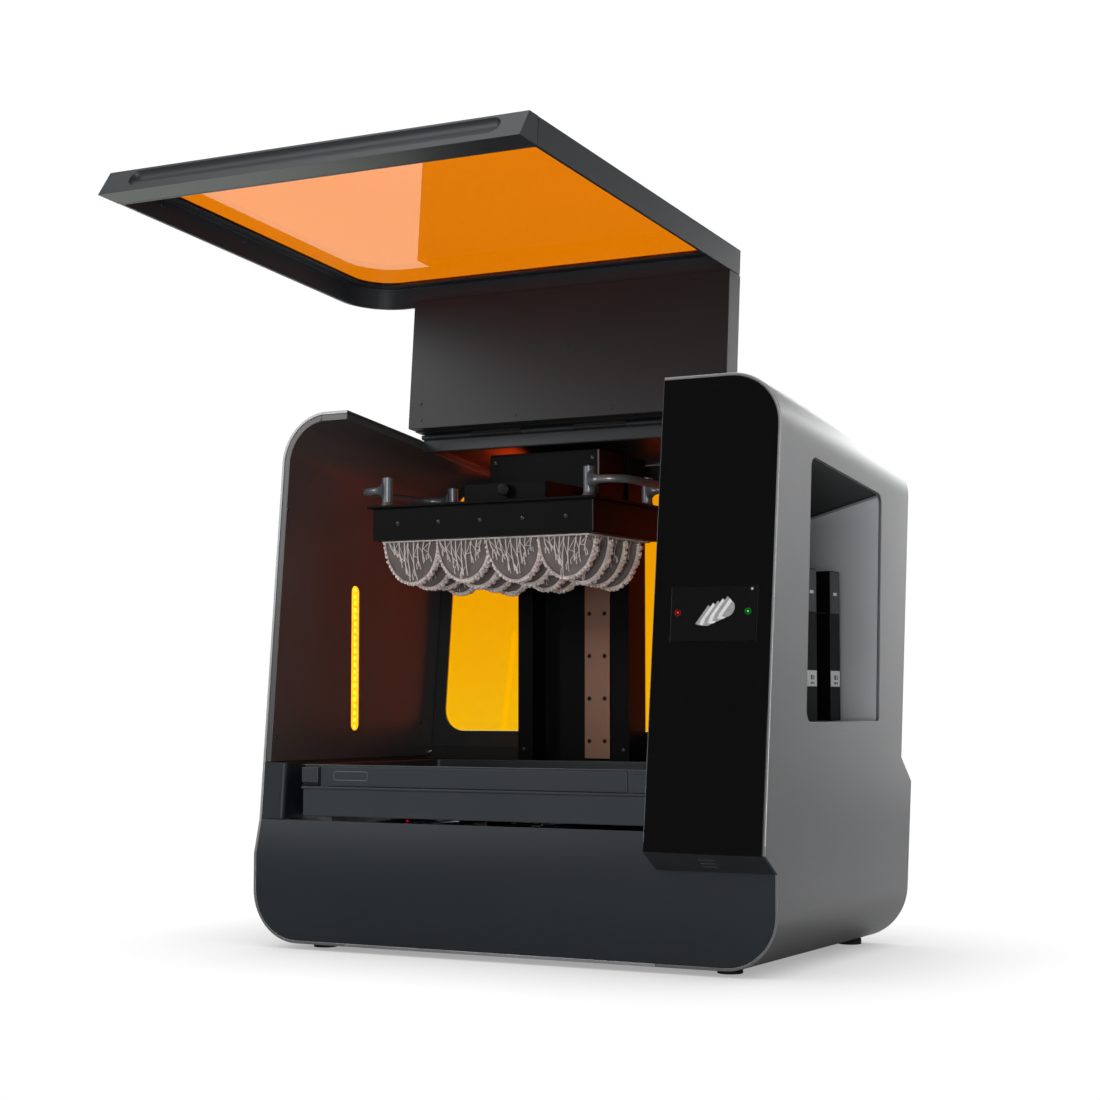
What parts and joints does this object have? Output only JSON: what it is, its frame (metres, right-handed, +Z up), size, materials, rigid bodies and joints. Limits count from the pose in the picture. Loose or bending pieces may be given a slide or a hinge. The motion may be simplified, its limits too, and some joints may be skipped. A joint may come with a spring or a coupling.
{
  "type": "resin 3d printer",
  "caption": "Leaning cabinet resin 3-D printer with a flip-up amber cover, lift tower, build platform, resin tank, side cartridge bay and touch-screen column.",
  "frame": {"origin": "on the floor under the centre of the bounding box at rest, cover open", "axes": "+X to the machine's right as seen from the front (screen side), +Y to its back, +Z up"},
  "size_m": [0.77, 0.827, 0.9981],
  "materials": {
    "silver_shell": "satin metallic silver",
    "graphite_paint": "satin dark grey",
    "cover_graphite": "satin dark grey",
    "panel_grey": "matte blue-grey",
    "chamber_lining": "satin dark",
    "gloss_black": "gloss black panel",
    "amber_acrylic": "clear amber",
    "led_amber": "lit amber",
    "screen": "gloss screen",
    "black_anodised": "black anodised",
    "black_plastic": "matte black",
    "steel": "satin steel",
    "bronze": "bright",
    "tank_grey": "satin blue-grey",
    "tank_film": "clear film",
    "printed_resin": "satin grey-pink",
    "zinc_plate": "plain sheet",
    "circuit_board": "matte green",
    "rubber": "matte black"
  },
  "bodies": {
    "cabinet": {"left_shell": "silver_shell", "right_shell": "silver_shell", "cartridge_bay": "silver_shell", "rear_cover": "graphite_paint", "rear_lower_cover": "graphite_paint", "rear_top_panel": "graphite_paint", "column_chin": "graphite_paint", "hinge_leaf_fixed": "graphite_paint", "lower_front_panel": "panel_grey", "left_front_post": "panel_grey", "left_liner": "chamber_lining", "partition_wall": "chamber_lining", "chamber_deck": "chamber_lining", "screen_column_glass": "gloss_black", "rear_window": "amber_acrylic", "led_strip_left": "led_amber", "led_strip_right": "led_amber", "touch_display": "screen", "tower_column": "black_anodised", "lift_motor": "black_anodised", "fan_frame": "black_plastic", "power_inlet": "black_plastic", "tower_rail_plate": "steel", "light_rail_front": "steel", "light_rail_rear": "steel", "resin_tank": "tank_grey", "tank_film": "tank_film", "bottom_pan": "zinc_plate", "tank_rail_left": "zinc_plate", "tank_rail_right": "zinc_plate", "light_bed": "zinc_plate", "power_supply": "zinc_plate", "control_board": "circuit_board", "foot_front_left": "rubber", "foot_front_right": "rubber", "foot_rear_left": "rubber", "foot_rear_right": "rubber"},
    "cover": {"cover_frame": "cover_graphite", "cover_window": "amber_acrylic", "cover_handle_bar": "cover_graphite", "cover_top_pan": "cover_graphite", "hinge_leaf_cover": "graphite_paint"},
    "lift_stage": {"lift_carriage": "black_anodised", "platform_mount": "black_anodised", "build_platform": "black_anodised", "platform_handle_left": "steel", "platform_handle_right": "steel", "printed_models": "printed_resin"},
    "platform_lock_lever": {"platform_lock": "steel"},
    "screw": {"lift_screw": "bronze"},
    "mixer": {"tank_mixer": "black_plastic"},
    "engine_left": {"light_engine_left": "black_plastic"},
    "engine_right": {"light_engine_right": "black_plastic"},
    "cartridge_1": {"cartridge_front": "black_plastic"},
    "cartridge_2": {"cartridge_rear": "black_plastic"},
    "fan": {"fan_rotor": "black_plastic"},
    "rocker": {"power_rocker": "black_plastic"}
  },
  "joints": [
    {"name": "cover_hinge", "type": "hinge", "parent": "cabinet", "child": "cover", "pos_m": [0, 0.18357, 0.7165], "axis": [1, 0, 0], "range_deg": [0, 88.6]},
    {"name": "lift_slide", "type": "slide", "parent": "cabinet", "child": "lift_stage", "axis": [0, 0, 1], "range_m": [-0.265, 0.005]},
    {"name": "lift_screw_turn", "type": "hinge", "parent": "cabinet", "child": "screw", "pos_m": [-0.108, 0.31707, 0.46], "axis": [0, 0, 1], "range_deg": [-120, 6000]},
    {"name": "platform_lock_turn", "type": "hinge", "parent": "lift_stage", "child": "platform_lock_lever", "pos_m": [-0.079, 0.07507, 0.622], "axis": [0, 1, 0], "range_deg": [0, 90]},
    {"name": "mixer_slide", "type": "slide", "parent": "cabinet", "child": "mixer", "axis": [1, 0, 0], "range_m": [-0.485, 0]},
    {"name": "light_engine_left_slide", "type": "slide", "parent": "cabinet", "child": "engine_left", "axis": [1, 0, 0], "range_m": [0, 0.22]},
    {"name": "light_engine_right_slide", "type": "slide", "parent": "cabinet", "child": "engine_right", "axis": [1, 0, 0], "range_m": [0, 0.22]},
    {"name": "cartridge_front_slide", "type": "slide", "parent": "cabinet", "child": "cartridge_1", "axis": [1, 0, 0], "range_m": [0, 0.12]},
    {"name": "cartridge_rear_slide", "type": "slide", "parent": "cabinet", "child": "cartridge_2", "axis": [1, 0, 0], "range_m": [0, 0.12]},
    {"name": "fan_spin", "type": "hinge", "parent": "cabinet", "child": "fan", "pos_m": [-0.18, 0.36037, 0.115], "axis": [0, 1, 0], "continuous": true},
    {"name": "power_rocker_tip", "type": "hinge", "parent": "cabinet", "child": "rocker", "pos_m": [0.333, 0.37207, 0.0625], "axis": [1, 0, 0], "range_deg": [0, 10]}
  ],
  "couplings": [
    {"joint": "lift_screw_turn", "follows": "lift_slide", "rad_per_m": -392.7},
    {"joint": "light_engine_right_slide", "follows": "light_engine_left_slide", "ratio": 1}
  ]
}
